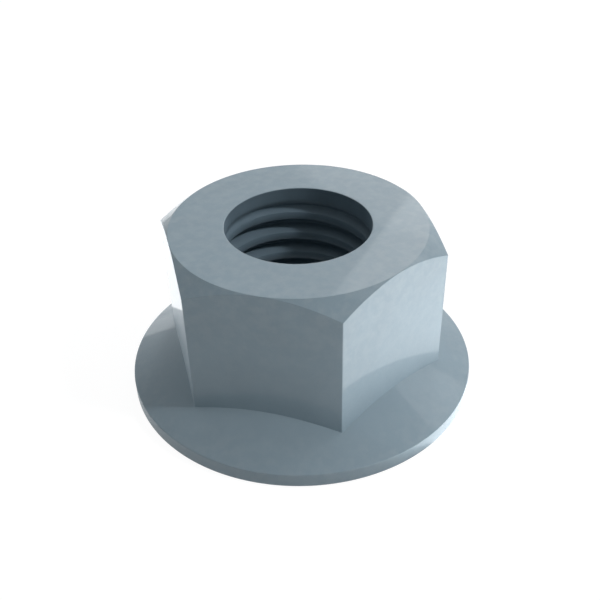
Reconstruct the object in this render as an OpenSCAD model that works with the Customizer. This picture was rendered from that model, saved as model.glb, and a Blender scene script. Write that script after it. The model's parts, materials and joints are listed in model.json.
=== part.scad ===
// Hexagon flange lock nut with a ratchet-toothed bearing face, one forged and tapped piece.
// Z = 0 is the plane of the tooth crests, +Z runs up the bore, and two corners lie on the X axis.

/* [Hexagon] */
// Width across the flats
hex_af = 18; // [16:0.1:20]
// Height of the nut over everything
nut_h = 12.5; // [9:0.1:16]
// Slope of the corner chamfer, in degrees below the top face
chamfer_slope = 38.5; // [20:0.5:45]
// How far inside the flats the flat top face ends
top_inset = 0.02; // [0.01:0.01:0.6]

/* [Flange] */
// Diameter of the flange
flange_d = 25.4; // [24.6:0.1:30]
// Height of the upright rim
rim_h = 1.04; // [0.6:0.02:2]
// Slope of the conical top of the flange, in degrees
flange_slope = 26.3; // [10:0.1:32]
// How far the rim stands back from the crests, so that only the teeth bear
rim_setback = 0.1; // [0.05:0.01:0.3]

/* [Bore] */
// Diameter of the bore, which is the inner diameter of the thread
bore_d = 10.26; // [9:0.01:11]
// Diameter of the countersink at the bearing face
mouth_d = 12.7; // [11.6:0.1:13.2]
// Full angle of the countersink, in degrees
mouth_angle = 120; // [90:1:130]

/* [Locking teeth] */
// Number of teeth round the bearing face
tooth_count = 30; // [18:1:40]
// Depth of the gap between two teeth at the outer end of the crests
tooth_depth = 0.45; // [0.2:0.01:0.7]
// Width of a crest at its outer end
crest_w = 0.5; // [0.2:0.05:0.9]
// Inner diameter of the ring of teeth
teeth_inner_d = 15; // [13.8:0.1:16.5]
// Outer diameter of the ring of teeth, where their crests end
teeth_outer_d = 23.4; // [20:0.1:23.8]
// How far the gaps between the teeth run out past the crests
gap_runout = 0.25; // [0.1:0.05:0.35]

/* [Hidden] */
$fn = 180;

// Cuts run this far past the faces that they open
overcut = 1;

// Radii that the driving sizes give
bore_r = bore_d / 2;
mouth_r = mouth_d / 2;
flange_r = flange_d / 2;
corner_r = hex_af / 2 / cos(30);
top_r = hex_af / 2 - top_inset;
teeth_inner_r = teeth_inner_d / 2;
teeth_outer_r = teeth_outer_d / 2;
gap_outer_r = teeth_outer_r + gap_runout;

// Heights that the driving sizes give
rim_top_z = rim_setback + rim_h;
flange_apex_z = rim_top_z + flange_r * tan(flange_slope);
chamfer_apex_z = nut_h + top_r * tan(chamfer_slope);
mouth_h = (mouth_r - bore_r) / tan(mouth_angle / 2);

// Angles of one tooth, from crest to crest, and of its gap
pitch_angle = 360 / tooth_count;
crest_angle = 2 * asin(crest_w / 2 / teeth_outer_r);
gap_angle = pitch_angle - crest_angle;
gap_w = teeth_outer_r * sin(gap_angle);

module revolve(points) {
    rotate_extrude() polygon(points);
}

// Cone that takes the six upper corners off the hexagon and leaves the round top face
module chamfer_cone() {
    revolve([
        [0, 0],
        [corner_r + overcut, 0],
        [corner_r + overcut, chamfer_apex_z - (corner_r + overcut) * tan(chamfer_slope)],
        [top_r, nut_h],
        [0, nut_h]
    ]);
}

// Spanner hexagon, with curved edges where the chamfer meets its flats
module hexagon() {
    intersection() {
        translate([0, 0, rim_setback])
            cylinder(h = nut_h - rim_setback, r = corner_r, $fn = 6);
        chamfer_cone();
    }
}

// Washer-like flange: an upright rim under a cone that runs up inside the hexagon
module flange() {
    cone_r = bore_r / 2;
    revolve([
        [0, rim_setback],
        [flange_r, rim_setback],
        [flange_r, rim_top_z],
        [cone_r, flange_apex_z - cone_r * tan(flange_slope)],
        [0, flange_apex_z - cone_r * tan(flange_slope)]
    ]);
}

// Plain disc under the flange, which the gaps between the teeth are cut from
module bearing_ring() {
    cylinder(h = rim_top_z, r = teeth_outer_r);
}

// Space between two teeth: a ramp that falls to nothing at the crest on the X axis, and an
// upright wall at the other end, which faces the way that the nut would turn to come loose
module tooth_gap() {
    intersection() {
        rotate([90, 0, 90])
            linear_extrude(height = gap_outer_r + overcut)
                polygon([
                    [0, 0],
                    [0, -overcut],
                    [-gap_w - overcut, -overcut],
                    [-gap_w - overcut, tooth_depth * (gap_w + overcut) / gap_w]
                ]);
        rotate([0, 0, -gap_angle])
            translate([0, 0, -2 * overcut])
                cube([gap_outer_r + overcut, gap_outer_r, tooth_depth + 4 * overcut]);
        difference() {
            translate([0, 0, -2 * overcut])
                cylinder(h = tooth_depth + 4 * overcut, r = gap_outer_r);
            translate([0, 0, -3 * overcut])
                cylinder(h = tooth_depth + 6 * overcut, r = teeth_inner_r);
        }
    }
}

module tooth_gaps() {
    for (i = [0 : tooth_count - 1])
        rotate([0, 0, i * pitch_angle])
            tooth_gap();
}

// Bore right through, with a countersink where the bolt enters at the bearing face
module bore() {
    mouth_slope = tan(mouth_angle / 2);
    revolve([
        [0, -overcut],
        [mouth_r + overcut * mouth_slope, -overcut],
        [bore_r, mouth_h],
        [bore_r, nut_h + overcut],
        [0, nut_h + overcut]
    ]);
}

module flange_lock_nut() {
    color([0.55, 0.61, 0.65])
        difference() {
            union() {
                hexagon();
                flange();
                bearing_ring();
            }
            tooth_gaps();
            bore();
        }
}

flange_lock_nut();
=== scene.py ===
import json
import math
import bmesh
import bpy
import numpy as np
from mathutils import Matrix, Vector


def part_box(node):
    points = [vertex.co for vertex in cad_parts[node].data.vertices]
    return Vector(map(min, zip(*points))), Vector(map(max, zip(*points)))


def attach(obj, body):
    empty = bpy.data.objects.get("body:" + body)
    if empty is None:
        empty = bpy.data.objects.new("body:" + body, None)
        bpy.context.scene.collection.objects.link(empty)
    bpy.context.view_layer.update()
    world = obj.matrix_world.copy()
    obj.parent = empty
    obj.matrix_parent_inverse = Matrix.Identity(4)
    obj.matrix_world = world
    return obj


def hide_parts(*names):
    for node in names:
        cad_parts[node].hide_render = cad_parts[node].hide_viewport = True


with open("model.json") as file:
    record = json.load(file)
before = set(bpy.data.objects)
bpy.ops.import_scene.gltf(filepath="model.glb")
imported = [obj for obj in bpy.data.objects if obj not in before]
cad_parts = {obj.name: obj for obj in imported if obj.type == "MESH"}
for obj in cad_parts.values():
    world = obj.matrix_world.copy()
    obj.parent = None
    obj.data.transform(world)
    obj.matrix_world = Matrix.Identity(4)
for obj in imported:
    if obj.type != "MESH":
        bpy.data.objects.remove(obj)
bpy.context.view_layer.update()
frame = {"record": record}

# Camera
# It looks at the nut as the photograph does: 15.8 degrees to the right of the front flat, 35.6 degrees
# above the floor and rolled a little, through a 50 mm lens on a full frame.
VIEW_AZIMUTH = math.radians(15.832)
VIEW_ELEVATION = math.radians(35.600)
VIEW_ROLL = math.radians(-1.4525)
VIEW_DISTANCE = 0.06154
VIEW_CENTRE_Z = 0.0055
VIEW_SHIFT_RIGHT = -0.0000184
VIEW_SHIFT_UP = 0.0003902
LENS_MM = 50
SENSOR_MM = 36
NEAREST_SEEN = 0.001

view_back = Vector((
    math.sin(VIEW_AZIMUTH) * math.cos(VIEW_ELEVATION),
    -math.cos(VIEW_AZIMUTH) * math.cos(VIEW_ELEVATION),
    math.sin(VIEW_ELEVATION),
))
level_right = Vector((math.cos(VIEW_AZIMUTH), math.sin(VIEW_AZIMUTH), 0))
level_up = view_back.cross(level_right)
view_right = math.cos(VIEW_ROLL) * level_right + math.sin(VIEW_ROLL) * level_up
view_up = math.cos(VIEW_ROLL) * level_up - math.sin(VIEW_ROLL) * level_right
view_target = Vector((0, 0, VIEW_CENTRE_Z)) + VIEW_SHIFT_RIGHT * view_right + VIEW_SHIFT_UP * view_up

camera_data = bpy.data.cameras.new("camera")
camera_data.lens = LENS_MM
camera_data.sensor_width = SENSOR_MM
camera_data.clip_start = NEAREST_SEEN
camera = bpy.data.objects.new("camera", camera_data)
bpy.context.scene.collection.objects.link(camera)
camera.matrix_world = (
    Matrix.Translation(view_target + VIEW_DISTANCE * view_back)
    @ Matrix((view_right, view_up, view_back)).transposed().to_4x4()
)
bpy.context.scene.camera = camera

# Hexagon flange lock nut
# One piece of medium carbon steel, cold forged with its flange and its ratchet-toothed bearing face,
# then tapped with a right-hand M12 coarse thread and given a blue-grey zinc flake coat and a sealer.
NUT_NODE = "flange_lock_nut"
mounts = {mount["name"]: mount for mount in frame["record"]["mounts"]}
nut_low, nut_high = (np.array(corner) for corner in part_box(NUT_NODE))

# Hexagon, flange and bore, whose main sizes come from the frame
NUT_H = nut_high[2]
FLANGE_R = (nut_high[0] - nut_low[0]) / 2
FLAT_R = abs(mounts["spanner_flat_front"]["pos_m"][1])
BORE_R = mounts["thread"]["dims"]["r_mm"] / 1000
TOP_INSET = 0.00002
TOP_R = FLAT_R - TOP_INSET
CHAMFER_SLOPE = math.radians(38.5)
FLANGE_SLOPE = math.radians(26.3)
RIM_LOW_Z = 0.0001
RIM_H = 0.00104
RIM_TOP_Z = RIM_LOW_Z + RIM_H
MOUTH_R = 0.00635
MOUTH_HALF_ANGLE = math.radians(60)
FULL_TURN = 2 * math.pi
HEX_SIDES = 6
HEX_TURN = FULL_TURN / HEX_SIDES

# Ratchet teeth, each a level crest, an upright wall and a ramp that climbs to the next crest
TOOTH_COUNT = 30
TOOTH_DEPTH = 0.00045
CREST_W = 0.0005
TEETH_INNER_R = 0.0075
TEETH_OUTER_R = 0.0117
GAP_RUNOUT = 0.00025
GAP_OUTER_R = TEETH_OUTER_R + GAP_RUNOUT
TOOTH_PITCH = FULL_TURN / TOOTH_COUNT
CREST_ANGLE = 2 * math.asin(CREST_W / 2 / TEETH_OUTER_R)
GAP_WIDTH = TEETH_OUTER_R * math.sin(TOOTH_PITCH - CREST_ANGLE)
CREST_COLUMNS = 3
RAMP_COLUMNS = 7

# Thread, which fades out below the top face so that the bore's edge stays a clean circle
THREAD_PITCH = 0.00175
THREAD_MAJOR_R = 0.006
THREAD_FLANK_ANGLE = math.radians(30)
THREAD_ROOT_SHARE = 1 / 8
THREAD_STEPS = 12
THREAD_TOP_CLEAR = 0.0009
THREAD_FADE = 0.0014

# Rounds on the edges, and the rows and columns of the grid that carry them
HEX_EDGE_ROUND = 0.00007
TOP_EDGE_ROUND = 0.00006
RIM_EDGE_ROUND = 0.00009
FOOT_ROUND = 0.00004
BORE_EDGE_ROUND = 0.00005
ROUND_STEPS = 4
MOST_OF_A_SIDE = 0.42
SUPPORT_GAP = 0.00002
SUPPORT_SHARE = 0.3
BORE_LEAD = 0.0005
HEX_EDGE_CENTRE = (FLAT_R - HEX_EDGE_ROUND) / math.cos(HEX_TURN / 2)
HEX_EDGE_HALF = math.atan2(
    HEX_EDGE_ROUND * math.sin(HEX_TURN / 2),
    HEX_EDGE_CENTRE + HEX_EDGE_ROUND * math.cos(HEX_TURN / 2),
)
HEX_EDGE_COLUMNS = HEX_EDGE_HALF * np.array([-1.35, -1, -0.5, 0.5, 1, 1.35])
SHARP_FROM = math.radians(32)
SAME_POINT = 1e-8
NO_AREA = 1e-15


def level_angle(radius):
    """Angle short of a crest at which a ramp stands as high as the rim's lower edge, at one radius."""
    return math.asin(RIM_LOW_Z * GAP_WIDTH / TOOTH_DEPTH / radius)


def ramp_height(radius, climb):
    """Height of the ramps: a plane through each crest's edge, so radius times the sine of the climb."""
    return TOOTH_DEPTH * radius * np.sin(climb) / GAP_WIDTH


def chamfer_height(radius):
    """Height of the chamfer's cone, which falls from the top face's edge in a straight line."""
    return NUT_H - (radius - TOP_R) * math.tan(CHAMFER_SLOPE)


def flange_height(radius):
    """Height of the flange's cone, which rises inwards from the rim's upper edge in a straight line."""
    return RIM_TOP_Z + (FLANGE_R - radius) * math.tan(FLANGE_SLOPE)


def off_corner(angle):
    """Angle from the nearest corner of the hexagon, whose corners stand 60 degrees apart from X on."""
    return (angle + HEX_TURN / 2) % HEX_TURN - HEX_TURN / 2


def hexagon_radius(angle):
    """Polar radius of a regular hexagon with corners on the X axis and a small arc at each corner.

    Beyond the arc it is the flat's distance over the cosine of the angle from the flat's middle.
    Within the arc it is the far root of the circle that touches both flats.
    """
    from_corner = off_corner(angle)
    flat = FLAT_R / np.cos(HEX_TURN / 2 - np.abs(from_corner))
    under = np.maximum(HEX_EDGE_ROUND ** 2 - (HEX_EDGE_CENTRE * np.sin(from_corner)) ** 2, 0)
    arc = HEX_EDGE_CENTRE * np.cos(from_corner) + np.sqrt(under)
    return np.where(np.abs(from_corner) < HEX_EDGE_HALF, arc, flat)


def thread_groove(phase):
    """Depth of a 60 degree thread at a share of its pitch: flat crest, flank, flat root, flank."""
    depth = THREAD_MAJOR_R - BORE_R
    flank = depth * math.tan(THREAD_FLANK_ANGLE) / THREAD_PITCH
    from_root = np.abs((phase + 0.5) % 1 - 0.5)
    return depth * np.clip((THREAD_ROOT_SHARE / 2 + flank - from_root) / flank, 0, 1)


def tooth_columns():
    """Angles of the grid's columns over one turn, from the crests' and the hexagon's own edges.

    At each tooth's wall two columns share one angle. Close columns stand on each side of a hexagon
    edge, which lies over the start of a crest. Returned with each angle is the angle still to climb
    to the next crest, which is zero on a crest, and whether the column follows the line where a ramp
    comes level with the rim's lower edge. The last column closes the turn.
    """
    level = level_angle(TEETH_OUTER_R)
    on_crest = np.linspace(0, CREST_ANGLE, CREST_COLUMNS)
    on_ramp = np.r_[np.linspace(CREST_ANGLE, TOOTH_PITCH - level, RAMP_COLUMNS), TOOTH_PITCH - level / 2]
    starts = np.arange(TOOTH_COUNT)[:, None] * TOOTH_PITCH
    angle = np.hstack([starts + on_crest, starts + on_ramp]).ravel()
    climb = np.tile(np.r_[0 * on_crest, TOOTH_PITCH - on_ramp], TOOTH_COUNT)
    comes_level = np.arange(CREST_COLUMNS + on_ramp.size) == CREST_COLUMNS + RAMP_COLUMNS - 1
    follows = np.tile(comes_level, TOOTH_COUNT)

    corners = np.arange(HEX_SIDES)[:, None] * HEX_TURN
    edge_angle = (corners + HEX_EDGE_COLUMNS).ravel() % FULL_TURN
    edge_climb = np.maximum(-np.tile(HEX_EDGE_COLUMNS, HEX_SIDES), 0)
    angle = np.r_[angle, edge_angle]
    climb = np.r_[climb, edge_climb]
    follows = np.r_[follows, np.zeros(edge_angle.size, bool)]
    order = np.lexsort((climb, angle))
    return np.r_[angle[order], FULL_TURN], np.r_[climb[order], 0], np.r_[follows[order], False]


def ring(angle, radius, height):
    """Rows of the grid: the angle, the radius and the height of each column, set side by side."""
    return np.stack(np.broadcast_arrays(angle, radius, height), -1)


def rounded_rows(corners, rounds):
    """Rows of a profile given by its corners, each a ring, and by the round on each but the end ones.

    A corner becomes an arc that is tangent to both sides, cut down where a side is short, with one
    supporting row close before it and one close after it. The arc is the quadratic curve with the
    corner as its control point.
    """
    rows = []
    for before, corner, after, size in zip(corners, corners[1:], corners[2:], rounds):
        into = before - corner
        away = after - corner
        into_len = np.linalg.norm(into, axis=1, keepdims=True)
        away_len = np.linalg.norm(away, axis=1, keepdims=True)
        into = into / into_len
        away = away / away_len
        half_turn = (math.pi - np.arccos(np.clip((into * away).sum(1), -1, 1)))[:, None] / 2
        reach = np.minimum(size * np.tan(half_turn), MOST_OF_A_SIDE * np.minimum(into_len, away_len))
        support = np.minimum(SUPPORT_GAP, SUPPORT_SHARE * reach)
        rows.append(corner + into * (reach + support))
        for step in np.linspace(0, 1, ROUND_STEPS + 1):
            rows.append(corner + into * reach * (1 - step) ** 2 + away * reach * step ** 2)
        rows.append(corner + away * (reach + support))
    return rows


def outer_rows(base):
    """Rows over the outside, from the bore's upper edge to the rim's lower edge, as a rounded profile.

    The profile is lines between rings: the top face, the chamfer's cone, the flats, the flange's
    cone and the rim. The first ring and the last only give the direction of their lines.
    """
    flat = hexagon_radius(base)
    corners = [
        ring(base, BORE_R, NUT_H - BORE_LEAD),
        ring(base, BORE_R, NUT_H),
        ring(base, TOP_R, NUT_H),
        ring(base, flat, chamfer_height(flat)),
        ring(base, flat, flange_height(flat)),
        ring(base, FLANGE_R, RIM_TOP_Z),
        ring(base, FLANGE_R, RIM_LOW_Z),
        ring(base, GAP_OUTER_R, RIM_LOW_Z),
    ]
    rounds = [
        BORE_EDGE_ROUND,
        TOP_EDGE_ROUND,
        HEX_EDGE_ROUND,
        FOOT_ROUND,
        RIM_EDGE_ROUND,
        RIM_EDGE_ROUND,
    ]
    return rounded_rows(corners, rounds)


def tooth_rows(base, climb, follows):
    """Rows in under the nut: the gaps' outer ends, the crests' outer ends and the teeth's inner ends.

    Outside the crests a ramp shows only where it stands above the rim's lower edge. A column that
    follows the line where a ramp comes level with that edge turns with that line.
    """
    turned = base + np.where(follows, level_angle(TEETH_OUTER_R) - level_angle(GAP_OUTER_R), 0)
    gap_end = ramp_height(GAP_OUTER_R, climb + base - turned)
    crest_end = ramp_height(TEETH_OUTER_R, climb)
    return [
        ring(turned, GAP_OUTER_R, RIM_LOW_Z),
        ring(turned, GAP_OUTER_R, np.maximum(gap_end, RIM_LOW_Z)),
        ring(base, TEETH_OUTER_R, np.maximum(crest_end, RIM_LOW_Z)),
        ring(base, TEETH_OUTER_R, crest_end),
        ring(base, TEETH_INNER_R, ramp_height(TEETH_INNER_R, climb)),
        ring(base, TEETH_INNER_R, 0),
    ]


def bore_rows(base, bore_top_z):
    """Rows up the bore, which climb with the thread's helix and are held between its two end circles.

    The radius is the bore's plus the groove's depth, faded out in a smooth step below the top face,
    or the countersink's where that is wider.
    """
    turns = math.ceil(NUT_H / THREAD_PITCH) + 1
    phase = np.arange(-THREAD_STEPS, turns * THREAD_STEPS)[:, None] / THREAD_STEPS
    height = np.clip((phase + base / FULL_TURN) * THREAD_PITCH, 0, bore_top_z)
    fade = np.clip((NUT_H - THREAD_TOP_CLEAR - height) / THREAD_FADE, 0, 1)
    groove = thread_groove(phase) * fade * fade * (3 - 2 * fade)
    mouth = MOUTH_R - height * math.tan(MOUTH_HALF_ANGLE)
    return ring(base, np.maximum(BORE_R + groove, mouth), height)


def nut_grid():
    """Vertices and quads of the nut's whole skin, as one grid that closes both ways.

    Columns are angles about the bore. Rows run from the bore's upper edge over the outside, in under
    the nut across the teeth, and back up the bore. A point is its radius times the cosine and the
    sine of its angle, at its height. Points that fall together are merged.
    """
    base, climb, follows = tooth_columns()
    outer = outer_rows(base)
    bore_top_z = outer[0][0, 2]
    grid = np.concatenate([outer, tooth_rows(base, climb, follows), bore_rows(base, bore_top_z)])
    angle, radius, height = np.moveaxis(grid, -1, 0)
    points = np.stack([radius * np.cos(angle), radius * np.sin(angle), height], -1).reshape(-1, 3)

    index = np.arange(angle.size).reshape(angle.shape)
    onward = np.roll(index, -1, 0)
    quads = np.stack([index[:, :-1], onward[:, :-1], onward[:, 1:], index[:, 1:]], -1).reshape(-1, 4)
    keys = np.round(points / SAME_POINT).astype(np.int64)
    _, first, same = np.unique(keys, axis=0, return_index=True, return_inverse=True)
    return points[first], same.reshape(-1)[quads]


def whole_faces(quads):
    """Faces from quads whose corners may have fallen together, as a list.

    A quad with one corner repeated becomes a triangle. One with fewer corners left, or with its
    opposite corners on one point, has no area and goes.
    """
    repeated = quads == np.roll(quads, 1, 1)
    repeats = repeated.sum(1)
    folded = (quads[:, 0] == quads[:, 2]) | (quads[:, 1] == quads[:, 3])
    triangles = quads[repeats == 1][~repeated[repeats == 1]].reshape(-1, 3)
    return quads[(repeats == 0) & ~folded].tolist() + triangles.tolist()


def join_flat_triangles(mesh):
    """Joins each triangle of no area, whose corners lie on one line, to the face past its longest side.

    There is one at each tooth's wall, where the crest's outer end meets the lower edge of the rim.
    """
    work = bmesh.new()
    work.from_mesh(mesh)
    flat = [face for face in work.faces if face.calc_area() < NO_AREA]
    longest = [max(face.edges, key=lambda edge: edge.calc_length()) for face in flat]
    bmesh.ops.dissolve_edges(work, edges=longest, use_verts=False)
    work.to_mesh(mesh)
    work.free()


nut_points, nut_quads = nut_grid()
nut_mesh = bpy.data.meshes.new("nut")
nut_mesh.from_pydata(nut_points, [], whole_faces(nut_quads))
join_flat_triangles(nut_mesh)
nut = bpy.data.objects.new("nut", nut_mesh)
bpy.context.scene.collection.objects.link(nut)
nut_mesh.shade_smooth()
nut_mesh.set_sharp_from_angle(angle=SHARP_FROM)

# Wear on the outward edges, and the tapped faces, which start below the bore's rounded upper edge
WEAR_REACH = 2 * HEX_EDGE_ROUND
WEAR_FOOT_GAP = 3 * HEX_EDGE_ROUND
TAPPED_R = THREAD_MAJOR_R + 0.000001
TAPPED_TOP_Z = NUT_H - 1.1 * BORE_EDGE_ROUND


def edge_wear(points):
    """Wear of the coat at each point: 1 on an outward edge, falling to 0 over the reach of the wear.

    A point's distance from an edge is the larger of its distances from the edge's two surfaces,
    taken for the hexagon's upright edges, the chamfer's foot, the top face, the bore and the rim.
    """
    radius = np.hypot(points[:, 0], points[:, 1])
    height = points[:, 2]
    off = np.abs(off_corner(np.arctan2(points[:, 1], points[:, 0])))
    from_flat = np.abs(radius * np.cos(HEX_TURN / 2 - off) - FLAT_R)
    from_next_flat = np.abs(radius * np.cos(HEX_TURN / 2 + off) - FLAT_R)
    from_chamfer = np.abs(chamfer_height(radius) - height) * math.cos(CHAMFER_SLOPE)
    from_cone = np.abs(flange_height(radius) - height) * math.cos(FLANGE_SLOPE)
    from_upright_edge = np.maximum(from_flat, from_next_flat)
    from_edge = np.minimum.reduce([
        np.where(from_cone > WEAR_FOOT_GAP, from_upright_edge, np.inf),
        np.maximum(from_flat, from_chamfer),
        np.maximum(np.abs(radius - TOP_R), np.abs(height - NUT_H)),
        np.maximum(np.abs(radius - BORE_R), np.abs(height - NUT_H)),
        np.maximum(np.abs(radius - FLANGE_R), from_cone),
        np.maximum(np.abs(radius - FLANGE_R), np.abs(height - RIM_LOW_Z)),
    ])
    return np.clip(1 - from_edge / WEAR_REACH, 0, 1)


def tapped(points):
    """Whether each point lies in the tapped bore, inside the thread's outside and below the top edge."""
    return (np.hypot(points[:, 0], points[:, 1]) < TAPPED_R) & (points[:, 2] < TAPPED_TOP_Z)


mesh_points = np.empty(len(nut_mesh.vertices) * 3)
nut_mesh.vertices.foreach_get("co", mesh_points)
wear_layer = nut_mesh.attributes.new("wear", "FLOAT", "POINT")
wear_layer.data.foreach_set("value", edge_wear(mesh_points.reshape(-1, 3)))
face_centres = np.empty(len(nut_mesh.polygons) * 3)
nut_mesh.polygons.foreach_get("center", face_centres)
# The tapped faces take the second finish, whose darker colour is painted shade in the bore.
nut_mesh.polygons.foreach_set("material_index", tapped(face_centres.reshape(-1, 3)).astype(np.int32))

# Zinc flake coat under its clear sealer
COAT_DARK = (0.219, 0.294, 0.344, 1)
COAT_LIGHT = (0.227, 0.305, 0.357, 1)
COAT_WORN = (0.330, 0.390, 0.430, 1)
COAT_METALLIC = 0.05
COAT_ROUGHNESS = 0.6
COAT_ROUGHNESS_SPREAD = 0.05
SEALER_WEIGHT = 0.25
SEALER_ROUGHNESS = 0.045
CLOUDS_PER_M = 420
CLOUD_DETAIL = 3
CLOUD_RANGE = (0.35, 0.65)
FLAKES_PER_M = 5200
GRAIN_DETAIL = 2
GRAIN_RANGE = (0.3, 0.7)
FLAKE_HEIGHT = 0.0000012
SCUFFS_PER_M = 1500
SCUFF_DETAIL = 4
SCUFF_RANGE = (0.4, 0.65)
SCUFF_SHARE = 0.35


def new_finish(name):
    """A new finish: its material, its node tree and its shader."""
    material = bpy.data.materials.new(name)
    material.use_nodes = True
    return material, material.node_tree, material.node_tree.nodes["Principled BSDF"]


def noise(tree, name, per_metre, detail):
    """A noise pattern that is fixed to the nut, with the given number of patches to the metre."""
    place = tree.nodes.new("ShaderNodeTexCoord")
    pattern = tree.nodes.new("ShaderNodeTexNoise")
    pattern.name = name
    pattern.inputs["Scale"].default_value = per_metre
    pattern.inputs["Detail"].default_value = detail
    tree.links.new(place.outputs["Object"], pattern.inputs["Vector"])
    return pattern.outputs["Fac"]


def ranged(value, low, high, to_low, to_high):
    """A value taken in a straight line from one range to another, and held at both ends."""
    tree = value.id_data
    step = tree.nodes.new("ShaderNodeMapRange")
    ends = {"From Min": low, "From Max": high, "To Min": to_low, "To Max": to_high}
    for socket, number in ends.items():
        step.inputs[socket].default_value = number
    tree.links.new(value, step.inputs["Value"])
    return step.outputs["Result"]


def mixed(factor, first, second):
    """Two colours mixed by a factor. Each is a colour or the output of another node."""
    tree = factor.id_data
    mix = tree.nodes.new("ShaderNodeMix")
    mix.data_type = "RGBA"
    tree.links.new(factor, mix.inputs["Factor"])
    for socket, colour in zip([s for s in mix.inputs if s.type == "RGBA"], (first, second)):
        if isinstance(colour, tuple):
            socket.default_value = colour
        else:
            tree.links.new(colour, socket)
    return next(s for s in mix.outputs if s.type == "RGBA")


def grained(shader, grain, roughness, spread, height):
    """Lets a fine grain spread a shader's roughness evenly both ways and stand up as a bump."""
    tree = shader.id_data
    rough = ranged(grain, *GRAIN_RANGE, roughness - spread, roughness + spread)
    tree.links.new(rough, shader.inputs["Roughness"])
    bump = tree.nodes.new("ShaderNodeBump")
    bump.inputs["Strength"].default_value = 1
    bump.inputs["Distance"].default_value = height
    tree.links.new(grain, bump.inputs["Height"])
    tree.links.new(bump.outputs["Normal"], shader.inputs["Normal"])


coat, coat_tree, coat_shader = new_finish("zinc_flake_coat")
clouds = noise(coat_tree, "clouds", CLOUDS_PER_M, CLOUD_DETAIL)
flakes = noise(coat_tree, "flakes", FLAKES_PER_M, GRAIN_DETAIL)
scuffs = noise(coat_tree, "scuffs", SCUFFS_PER_M, SCUFF_DETAIL)
edge = coat_tree.nodes.new("ShaderNodeAttribute")
edge.attribute_name = "wear"
worn = coat_tree.nodes.new("ShaderNodeMath")
worn.operation = "MULTIPLY"
coat_tree.links.new(edge.outputs["Fac"], worn.inputs[0])
coat_tree.links.new(ranged(scuffs, *SCUFF_RANGE, 0, SCUFF_SHARE), worn.inputs[1])
clouded = mixed(ranged(clouds, *CLOUD_RANGE, 0, 1), COAT_DARK, COAT_LIGHT)
coat_tree.links.new(mixed(worn.outputs[0], clouded, COAT_WORN), coat_shader.inputs["Base Color"])
grained(coat_shader, flakes, COAT_ROUGHNESS, COAT_ROUGHNESS_SPREAD, FLAKE_HEIGHT)
coat_shader.inputs["Metallic"].default_value = COAT_METALLIC
coat_shader.inputs["Coat Weight"].default_value = SEALER_WEIGHT
coat_shader.inputs["Coat Roughness"].default_value = SEALER_ROUGHNESS

# Finish of the tapped thread, without the coat's sealer. Its colours are darker than the coat's as
# painted shade for the inside of the bore.
THREAD_SHADED_DARK = (0.125, 0.178, 0.218, 1)
THREAD_SHADED_LIGHT = (0.147, 0.206, 0.251, 1)
THREAD_ROUGHNESS = 0.6
THREAD_ROUGHNESS_SPREAD = 0.08
THREAD_SPECULAR = 0.35
CHATTER_HEIGHT = 0.0000015

thread_finish, thread_tree, thread_shader = new_finish("thread_painted_shade")
streaks = noise(thread_tree, "streaks", CLOUDS_PER_M, CLOUD_DETAIL)
chatter = noise(thread_tree, "chatter", FLAKES_PER_M, GRAIN_DETAIL)
streaked = mixed(ranged(streaks, *CLOUD_RANGE, 0, 1), THREAD_SHADED_DARK, THREAD_SHADED_LIGHT)
thread_tree.links.new(streaked, thread_shader.inputs["Base Color"])
grained(thread_shader, chatter, THREAD_ROUGHNESS, THREAD_ROUGHNESS_SPREAD, CHATTER_HEIGHT)
thread_shader.inputs["Specular IOR Level"].default_value = THREAD_SPECULAR

nut_mesh.materials.append(coat)
nut_mesh.materials.append(thread_finish)
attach(nut, "root")
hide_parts(NUT_NODE)

# Floor
# A plain matt white sweep. Seen by the camera and in the nut's gloss it is white, and the camera sees
# only a weak share of its own shading, which keeps the nut's soft shadow.
FLOOR_HALF = 1.2
FLOOR_WHITE = 0.66
FLOOR_SEEN_SHADE = 0.12
FLOOR_GLOW = 0.95

floor_mesh = bpy.data.meshes.new("floor")
floor_corners = FLOOR_HALF * np.array([(-1, -1, 0), (1, -1, 0), (1, 1, 0), (-1, 1, 0)])
floor_mesh.from_pydata(floor_corners, [], [(0, 1, 2, 3)])
floor = bpy.data.objects.new("floor", floor_mesh)
bpy.context.scene.collection.objects.link(floor)


def seen_or_mirrored(path):
    """A value that is 1 for rays from the camera, in gloss or through glass, and 0 for other light."""
    tree = path.id_data
    seen = path.outputs["Is Camera Ray"]
    for kind in ("Is Glossy Ray", "Is Transmission Ray"):
        either = tree.nodes.new("ShaderNodeMath")
        either.operation = "MAXIMUM"
        tree.links.new(seen, either.inputs[0])
        tree.links.new(path.outputs[kind], either.inputs[1])
        seen = either.outputs[0]
    return seen


paper = bpy.data.materials.new("white_paper")
paper.use_nodes = True
paper_nodes = paper.node_tree.nodes
paper_links = paper.node_tree.links
paper_nodes.clear()
paper_path = paper_nodes.new("ShaderNodeLightPath")
glow = paper_nodes.new("ShaderNodeEmission")
glow_strength = ranged(seen_or_mirrored(paper_path), 0, 1, 0, FLOOR_GLOW)
paper_links.new(glow_strength, glow.inputs["Strength"])
matt = paper_nodes.new("ShaderNodeBsdfDiffuse")
matt_tone = ranged(paper_path.outputs["Is Camera Ray"], 0, 1, FLOOR_WHITE, FLOOR_SEEN_SHADE)
paper_links.new(matt_tone, matt.inputs["Color"])
surface = paper_nodes.new("ShaderNodeAddShader")
paper_links.new(glow.outputs[0], surface.inputs[0])
paper_links.new(matt.outputs[0], surface.inputs[1])
output = paper_nodes.new("ShaderNodeOutputMaterial")
paper_links.new(surface.outputs[0], output.inputs["Surface"])
floor_mesh.materials.append(paper)

# Studio light
# A dim cool room whose walls are white in the view and in gloss, a softbox overhead, panels at the
# right and the back, and two round panels that lie on the floor beside the nut and shine up.
ROOM_COLOUR = (0.85, 0.95, 1.0, 1)
ROOM_STRENGTH = 0.12
WALL_WHITE = (1, 1, 1, 1)

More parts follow.
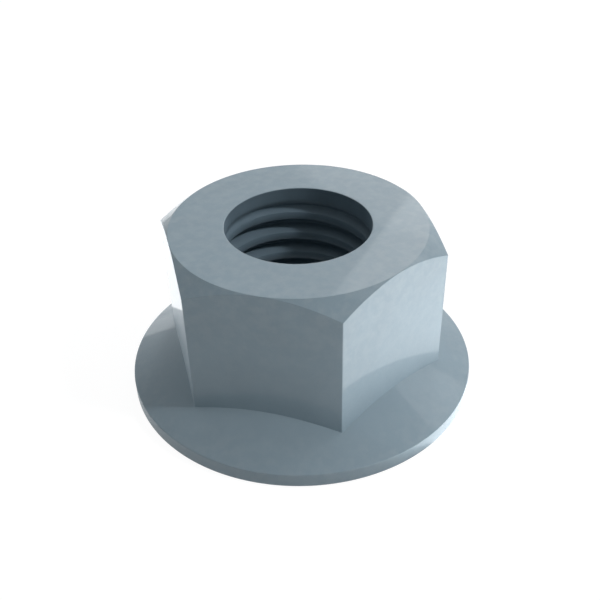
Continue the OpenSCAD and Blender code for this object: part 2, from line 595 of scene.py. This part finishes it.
room = bpy.data.worlds.new("room")
room.use_nodes = True
room_nodes = room.node_tree.nodes
room_links = room.node_tree.links
dim = room_nodes["Background"]
dim.inputs["Color"].default_value = ROOM_COLOUR
dim.inputs["Strength"].default_value = ROOM_STRENGTH
white = room_nodes.new("ShaderNodeBackground")
white.inputs["Color"].default_value = WALL_WHITE
choice = room_nodes.new("ShaderNodeMixShader")
room_links.new(seen_or_mirrored(room_nodes.new("ShaderNodeLightPath")), choice.inputs["Fac"])
room_links.new(dim.outputs[0], choice.inputs[1])
room_links.new(white.outputs[0], choice.inputs[2])
room_links.new(choice.outputs[0], room_nodes["World Output"].inputs["Surface"])
bpy.context.scene.world = room

# Lamps, of which the floor panels lie lower than the rim's edge, because they reach in under it
NUT_MIDDLE = Vector((0, 0, 0.006))
LAMP_DISTANCE = 0.5
PANEL_LIFT = 0.00005


def outwards(azimuth, elevation):
    """Direction away from the nut at an azimuth, counted from X, and an elevation, both in degrees."""
    turn, rise = math.radians(azimuth), math.radians(elevation)
    return Vector((math.cos(turn) * math.cos(rise), math.sin(turn) * math.cos(rise), math.sin(rise)))


def panel(name, shape, size, watts, place, turn):
    """A flat lamp at a place, with a size in metres, turned so that its own -Z is where it shines."""
    data = bpy.data.lights.new(name, "AREA")
    data.shape = shape
    data.size = size
    data.energy = watts
    piece = bpy.data.objects.new(name, data)
    bpy.context.scene.collection.objects.link(piece)
    piece.location = place
    piece.rotation_mode = "QUATERNION"
    piece.rotation_quaternion = turn
    return piece


def softbox(name, azimuth, elevation, size, watts):
    """A round softbox that faces the nut from an azimuth and an elevation."""
    out = outwards(azimuth, elevation)
    place = NUT_MIDDLE + LAMP_DISTANCE * out
    return panel(name, "DISK", size, watts, place, out.to_track_quat("Z", "Y"))


def floor_panel(name, azimuth, distance, size, watts):
    """A round panel that lies on the floor beside the nut and shines up, unseen by the camera."""
    place = distance * outwards(azimuth, 0) + Vector((0, 0, PANEL_LIFT))
    piece = panel(name, "DISK", size, watts, place, Vector((0, 0, -1)).to_track_quat("Z", "Y"))
    piece.visible_camera = False


softbox("overhead", 66, 76.5, 1.07, 0.93)
right_panel = softbox("right_panel", -3, 47.4, 0.07, 0.92)
softbox("upper_right_panel", 42, 36.5, 0.227, 0.34)
softbox("back_panel", 93, 15, 0.3, 0.38)
softbox("back_left_panel", 135, 3.1, 0.091, 0.055)
floor_panel("right_floor_panel", -14, 0.042, 0.0598, 0.0185)
floor_panel("back_floor_panel", 155, 0.045, 0.0632, 0.018)

# Mirrored, this small bright panel would leave hard white streaks on the flange.
right_panel.visible_glossy = False

# The left edge of this panel runs through these two directions, because the top face mirrors it there.
EDGE_LOW = outwards(96.3, 28.8)
EDGE_HIGH = outwards(102.5, 36.2)
EDGE_PANEL_WIDTH = 0.08
EDGE_PANEL_HEIGHT = 0.3
EDGE_PANEL_SHIFT = -0.06
EDGE_PANEL_WATTS = 0.26
edge_up = (EDGE_HIGH - EDGE_LOW).normalized()
edge_middle = LAMP_DISTANCE * (EDGE_LOW + EDGE_HIGH) / 2 + EDGE_PANEL_SHIFT * edge_up
across = edge_middle.cross(edge_up).normalized()
panel_middle = edge_middle + across * EDGE_PANEL_WIDTH / 2
panel_out = panel_middle.normalized()
panel_x = (across - across.dot(panel_out) * panel_out).normalized()
panel_turn = Matrix((panel_x, panel_out.cross(panel_x), panel_out)).transposed().to_quaternion()
edge_panel = panel(
    "edge_panel", "RECTANGLE", EDGE_PANEL_WIDTH, EDGE_PANEL_WATTS, NUT_MIDDLE + panel_middle, panel_turn
)
edge_panel.data.size_y = EDGE_PANEL_HEIGHT

bpy.context.scene.view_settings.view_transform = "Standard"
